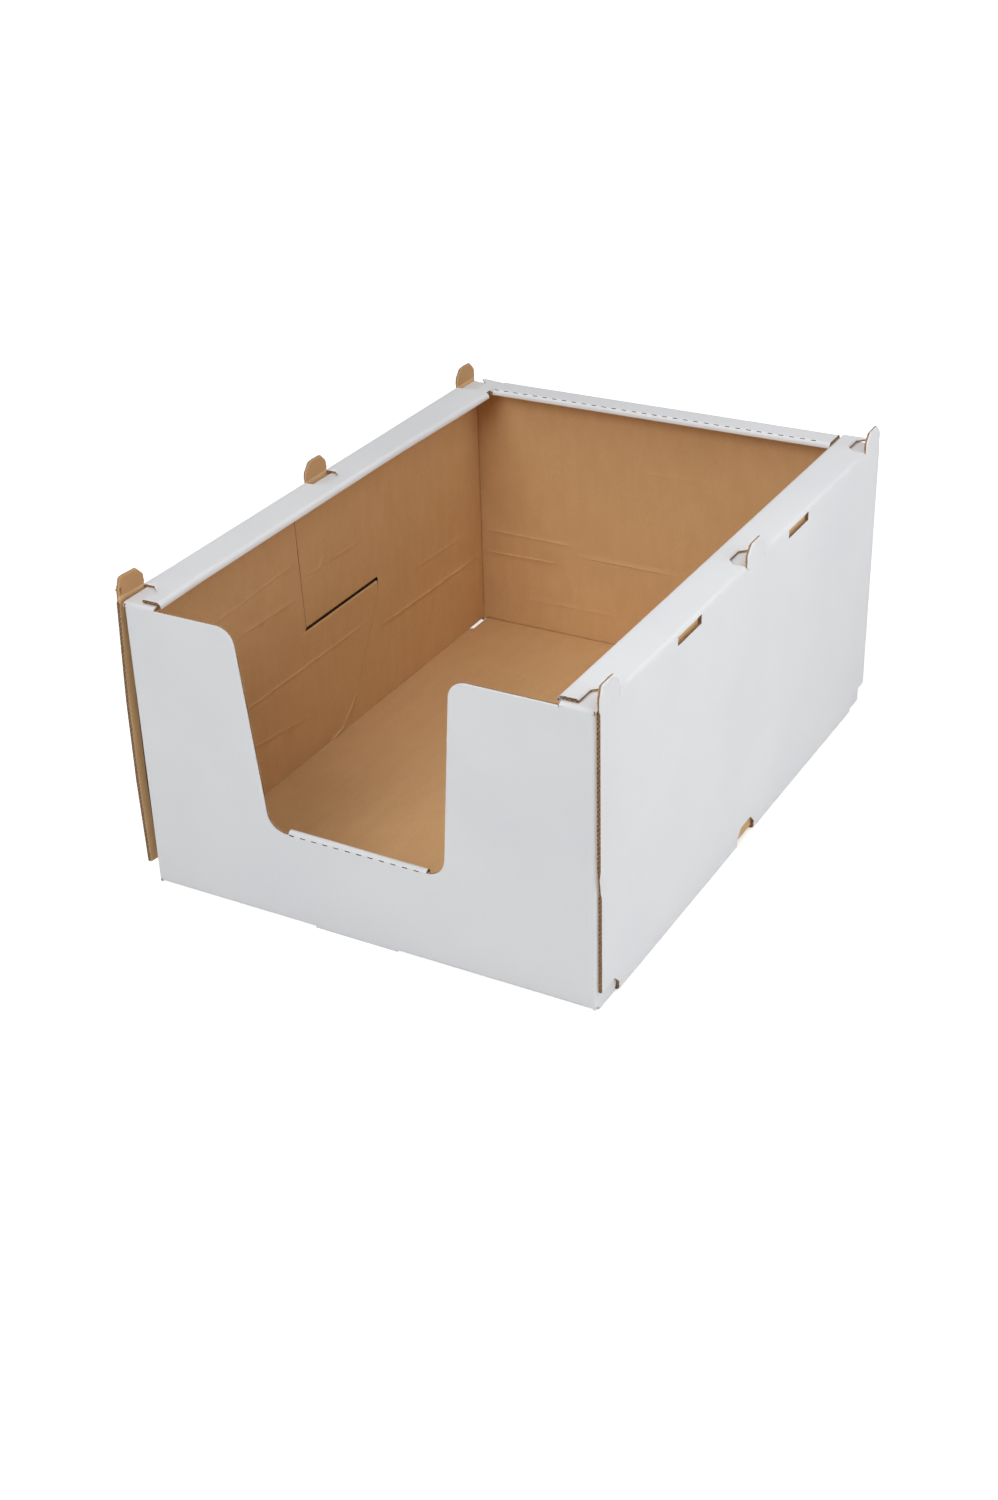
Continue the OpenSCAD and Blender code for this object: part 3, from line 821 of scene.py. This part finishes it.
for face in solid.polygons:
    face.material_index = special(*face.center, face.material_index)
solid.transform(Matrix.Scale(0.001, 4) @ Matrix.Translation((0, -LENGTH / 2, 0)))
solid.polygons.foreach_set("use_smooth", [True] * len(solid.polygons))
solid.set_sharp_from_angle(angle=math.radians(32))
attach(carton, "root")
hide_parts("carton_sheet")
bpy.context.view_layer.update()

# %% [markdown]
# ## Finishes
# The two liners and the raw edge read the flat place that was kept before folding, so
# that the faint ribs of the flutes run the right way on every panel. The kraft is painted
# lighter than its own tone, as painted light for the bright inside of the tray, and the
# kraft side of the tabs, above the rim, keeps most of its own darker, greyer tone.

# %% Small helpers for nodes
def colour(code):
    """A colour from the usual hexadecimal code."""
    parts = [int(code[i:i + 2], 16) / 255 for i in (1, 3, 5)]
    return (*[p / 12.92 if p <= 0.04045 else ((p + 0.055) / 1.055) ** 2.4 for p in parts], 1)


class Tree:
    """Adds nodes to one material and links them in the same line."""

    def __init__(self, material):
        material.use_nodes = True
        self.nodes, self.links = material.node_tree.nodes, material.node_tree.links
        self.shader = self.nodes["Principled BSDF"]

    def add(self, kind, settings=None, **inputs):
        node = self.nodes.new(kind)
        for name, value in (settings or {}).items():
            setattr(node, name, value)
        for name, value in inputs.items():
            self.plug(node, int(name[1:]) if name[1:].isdigit() else name, value)
        return node

    def plug(self, node, name, value):
        if isinstance(name, str):
            name = name.replace("_", " ")
        if isinstance(value, bpy.types.NodeSocket):
            self.links.new(value, node.inputs[name])
        else:
            node.inputs[name].default_value = value

    def math(self, operation, *values):
        node = self.add("ShaderNodeMath", {"operation": operation})
        for k, value in enumerate(values):
            self.plug(node, k, value)
        return node.outputs[0]

    def noise(self, place, scale, detail=2.0, rough=0.5):
        node = self.add("ShaderNodeTexNoise", Vector=place, Scale=scale, Detail=detail,
                        Roughness=rough)
        return node.outputs["Fac"]

    def ramp(self, value, *stops):
        node = self.add("ShaderNodeValToRGB", Fac=value)
        band = node.color_ramp
        while len(band.elements) < len(stops):
            band.elements.new(0.5)
        for element, (place, code) in zip(band.elements, stops):
            element.position = place
            element.color = colour(code) if isinstance(code, str) else (code, code, code, 1)
        return node.outputs["Color"]

    def blend(self, share, a, b, kind="MIX"):
        node = self.add("ShaderNodeMix", {"data_type": "RGBA", "blend_type": kind})
        for name, value in ((0, share), (6, a), (7, b)):
            self.plug(node, name, value)
        return node.outputs[2]

    def bump(self, height, distance, strength=1.0, normal=None):
        node = self.add("ShaderNodeBump", Height=height, Distance=distance, Strength=strength)
        if normal:
            self.plug(node, "Normal", normal)
        return node.outputs["Normal"]


def places(tree):
    """The object's own coordinates, the flat place, and the flutes' wave."""
    spot = tree.add("ShaderNodeTexCoord").outputs["Object"]
    across = tree.add("ShaderNodeAttribute", {"attribute_name": "across"}).outputs["Fac"]
    along = tree.add("ShaderNodeAttribute", {"attribute_name": "along"}).outputs["Fac"]
    flat = tree.add("ShaderNodeCombineXYZ", X=across, Y=along, Z=0.0).outputs[0]
    wave = tree.math("SINE", tree.math("MULTIPLY", across, 2 * math.pi / FLUTE))
    return spot, flat, across, wave


# %% White liner
t = Tree(white)
spot, flat, across, wave = places(t)
clouds = t.noise(spot, 9.0, 3.0)
fibres = t.noise(t.add("ShaderNodeMapping", Vector=flat, Scale=(1.0, 0.25, 1.0)).outputs[0],
                 1.6, 3.0, 0.6)
base = t.ramp(clouds, (0.3, "#DADBDE"), (0.7, "#DFE0E2"))
base = t.blend(0.08, base, t.ramp(fibres, (0.35, "#CBCCCF"), (0.7, "#EBEBEC")))
ribs = t.math("MULTIPLY_ADD", wave, 0.5, 0.5)
stripes = t.ramp(ribs, (0.2, "#BCBDC1"), (0.8, "#F2F2F2"))
t.plug(t.shader, "Base Color", t.blend(0.008, base, stripes))
t.plug(t.shader, "Roughness", 0.58)
t.plug(t.shader, "Specular IOR Level", 0.35)
relief = t.math("MULTIPLY_ADD", fibres, 0.3, t.math("MULTIPLY", ribs, 0.12))
t.plug(t.shader, "Normal", t.bump(relief, 0.00005, 0.5))

# %% Kraft liner
t = Tree(kraft)
spot, flat, across, wave = places(t)
clouds = t.noise(spot, 11.0, 5.0, 0.6)
blotches = t.noise(t.add("ShaderNodeMapping", Vector=flat, Scale=(0.09, 0.03, 1.0)).outputs[0],
                   1.0, 3.0, 0.6)
fibres = t.noise(t.add("ShaderNodeMapping", Vector=flat, Scale=(1.2, 0.22, 1.0)).outputs[0],
                 1.1, 4.0, 0.65)
specks = t.noise(spot, 900.0, 2.0, 0.7)
# Painted light: these kraft tones are lighter than the board's own kraft, to light up the
# inside of the tray.
base = t.ramp(clouds, (0.3, "#CBA271"), (0.7, "#DBB485"))
base = t.blend(0.4, base, t.ramp(blotches, (0.32, "#C39A69"), (0.68, "#E0BA8C")))
base = t.blend(0.35, base, t.ramp(fibres, (0.3, "#BF9462"), (0.72, "#E3BD91")))
base = t.blend(0.4, base, t.ramp(specks, (0.3, "#A67C4B"), (0.37, "#D3AB7B"), (0.68, "#D3AB7B"),
                                 (0.76, "#EBCBA3")))
ribs = t.math("MULTIPLY_ADD", wave, 0.5, 0.5)
stripes = t.ramp(ribs, (0.2, "#A67C4B"), (0.8, "#EBCBA3"))
base = t.blend(0.01, base, stripes)
# Above the rim, on the tabs, three quarters of the painted light is taken back to the board's
# own kraft, #AF8359.
height = t.add("ShaderNodeSeparateXYZ", Vector=spot).outputs["Z"]
painted_light_removed = t.math("MULTIPLY", t.math("GREATER_THAN", height, HEIGHT * 0.001 + 0.0005), 0.75)
t.plug(t.shader, "Base Color", t.blend(painted_light_removed, base, colour("#AF8359")))
t.plug(t.shader, "Roughness", 0.72)
t.plug(t.shader, "Specular IOR Level", 0.25)
dents = t.noise(spot, 26.0, 2.0, 0.5)
relief = t.math("MULTIPLY_ADD", fibres, 0.6, t.math("MULTIPLY", ribs, 0.12))
soft = t.bump(dents, 0.004, 0.35)
t.plug(t.shader, "Normal", t.bump(relief, 0.00008, 0.6, normal=soft))

# %% Raw edge with the flutes between the two liners, and painted shade in their hollows
t = Tree(edge)
spot, flat, across, wave = places(t)
deep = t.add("ShaderNodeAttribute", {"attribute_name": "depth"}).outputs["Fac"]
ragged = t.noise(spot, 700.0, 3.0, 0.6)
height = t.math("MULTIPLY_ADD", wave, 0.33, 0.5)
from_wave = t.math("ABSOLUTE", t.math("SUBTRACT", deep, height))
from_wave = t.math("MULTIPLY_ADD", t.math("SUBTRACT", ragged, 0.5), 0.18, from_wave)
medium = t.ramp(from_wave, (0.10, 1.0), (0.24, 0.0))
liner = t.ramp(t.math("ABSOLUTE", t.math("SUBTRACT", deep, 0.5)), (0.36, 0.0), (0.42, 1.0))
paper = t.math("MAXIMUM", medium, liner)
grain = t.ramp(ragged, (0.3, "#A98868"), (0.7, "#D3B594"))
# The hollows between the papers are painted dark brown as painted shade.
hollow_shade = t.ramp(ragged, (0.35, "#745941"), (0.75, "#A08062"))
t.plug(t.shader, "Base Color", t.blend(paper, hollow_shade, grain))
t.plug(t.shader, "Roughness", 0.85)
t.plug(t.shader, "Specular IOR Level", 0.15)
t.plug(t.shader, "Normal", t.bump(paper, 0.0006, 0.8))

# %% Painted shade for paper deep between two plies and in narrow cuts
t = Tree(shade)
spot = t.add("ShaderNodeTexCoord").outputs["Object"]
# The dark brown is painted shade, mottled by noise.
shade_mottle = t.noise(spot, 300.0, 3.0, 0.6)
t.plug(t.shader, "Base Color", t.ramp(shade_mottle, (0.35, "#33261B"), (0.7, "#5A4530")))
t.plug(t.shader, "Roughness", 0.9)
t.plug(t.shader, "Specular IOR Level", 0.1)
t.plug(t.shader, "Normal", t.bump(shade_mottle, 0.0002, 0.5))
print("finishes:", white.name, kraft.name, edge.name, shade.name)

# %% [markdown]
# ## Studio
# The photograph has a pure white ground, and soft light mostly from the front, the
# right and above. The floor takes a soft shadow. Camera rays see it brighter than it is
# lit, and more so farther from the carton, so that it runs into the white background.

# %% Floor and background
ground = bmesh.new()
bmesh.ops.create_grid(ground, x_segments=1, y_segments=1, size=6)
floor_mesh = bpy.data.meshes.new("studio_floor")
ground.to_mesh(floor_mesh)
ground.free()
floor = bpy.data.objects.new("studio_floor", floor_mesh)
bpy.context.scene.collection.objects.link(floor)
pale = bpy.data.materials.new("studio_paper")
floor_mesh.materials.append(pale)
t = Tree(pale)
t.plug(t.shader, "Base Color", (0.86, 0.86, 0.86, 1))
t.plug(t.shader, "Roughness", 0.9)
t.plug(t.shader, "Specular IOR Level", 0.0)
rays = t.add("ShaderNodeLightPath")
seen = t.math("MAXIMUM", rays.outputs["Is Camera Ray"], rays.outputs["Is Glossy Ray"])
t.plug(t.shader, "Emission Color", (1, 1, 1, 1))
away = t.add("ShaderNodeVectorMath", {"operation": "LENGTH"})
t.links.new(t.add("ShaderNodeTexCoord").outputs["Object"], away.inputs[0])
glow = t.add("ShaderNodeMapRange", Value=away.outputs["Value"], From_Min=0.7, From_Max=1.6,
             To_Min=0.5, To_Max=1.0)
t.plug(t.shader, "Emission Strength", t.math("MULTIPLY", seen, glow.outputs["Result"]))

world = bpy.data.worlds.new("studio")
bpy.context.scene.world = world
world.use_nodes = True
w = world.node_tree
rays = w.nodes.new("ShaderNodeLightPath")
sky = w.nodes["Background"]
sky.inputs["Color"].default_value = (1, 1, 1, 1)
shown = w.nodes.new("ShaderNodeMath")
shown.operation = "MAXIMUM"
w.links.new(rays.outputs["Is Camera Ray"], shown.inputs[0])
w.links.new(rays.outputs["Is Transmission Ray"], shown.inputs[1])
level = w.nodes.new("ShaderNodeMapRange")
level.inputs["To Min"].default_value = 0.06
level.inputs["To Max"].default_value = 1.0
w.links.new(shown.outputs[0], level.inputs["Value"])
w.links.new(level.outputs[0], sky.inputs["Strength"])


# %% Soft lamps
def lamp(name, azimuth, elevation, distance, size, power):
    """A round softbox that looks at the carton from a compass direction."""
    azimuth, elevation = math.radians(azimuth), math.radians(elevation)
    level = math.cos(elevation)
    towards = Vector((math.sin(azimuth) * level, -math.cos(azimuth) * level,
                      math.sin(elevation)))
    data = bpy.data.lights.new(name, "AREA")
    data.shape = "DISK"
    data.size = size
    data.energy = power
    piece = bpy.data.objects.new(name, data)
    piece.location = towards * distance + Vector((0, 0, 0.12))
    piece.rotation_euler = towards.to_track_quat("Z", "Y").to_euler()
    piece.visible_camera = False
    bpy.context.scene.collection.objects.link(piece)


lamp("front_softbox", 0, 35, 2.4, 1.4, 28)
lamp("right_softbox", 90, 8, 2.4, 1.4, 20)
lamp("left_softbox", 270, 62, 2.4, 1.4, 11.5)
lamp("back_softbox", 180, 60, 2.4, 1.4, 2.7)
lamp("top_fill", 45, 75, 1.3, 1.0, 2.5)
lamp("right_fill", 90, 50, 1.0, 0.8, 2.9)
lamp("low_back_fill", 180, 8, 2.4, 1.4, 16)
lamp("low_left_fill", 270, 8, 2.4, 1.4, 14)

# %% [markdown]
# ## Camera
# The camera was found by matching the carton's corners to the photograph: it looks
# down at 31 degrees from 30 degrees right of the front, with a slight roll. The small
# shift is how the photograph was framed.

# %% Camera
turn, tilt, roll = math.radians(30.34), math.radians(30.63), math.radians(-2.14)
ahead = Vector((-math.sin(turn) * math.cos(tilt), math.cos(turn) * math.cos(tilt),
                -math.sin(tilt)))
across = Vector((math.cos(turn), math.sin(turn), 0))
above = across.cross(ahead)
right_way = across * math.cos(roll) + above * math.sin(roll)
up_way = above * math.cos(roll) - across * math.sin(roll)
lens = bpy.data.cameras.new("photo_view")
lens.sensor_width = 36
PHOTO_W, PHOTO_H, FOCAL_PX, AXIS_X, AXIS_Y = 998, 1500, 2069, 478, 797
lens.lens = FOCAL_PX / PHOTO_H * lens.sensor_width
lens.shift_x = (PHOTO_W / 2 - AXIS_X) / PHOTO_H
lens.shift_y = (AXIS_Y - PHOTO_H / 2) / PHOTO_H
lens.clip_end = 50
camera = bpy.data.objects.new("photo_view", lens)
camera.matrix_world = Matrix.LocRotScale(
    Vector((0.737, -1.3505, 0.899)),
    Matrix((right_way, up_way, -ahead)).transposed(), Vector((1, 1, 1)))
bpy.context.scene.collection.objects.link(camera)
bpy.context.scene.camera = camera
bpy.context.scene.view_settings.view_transform = "Standard"
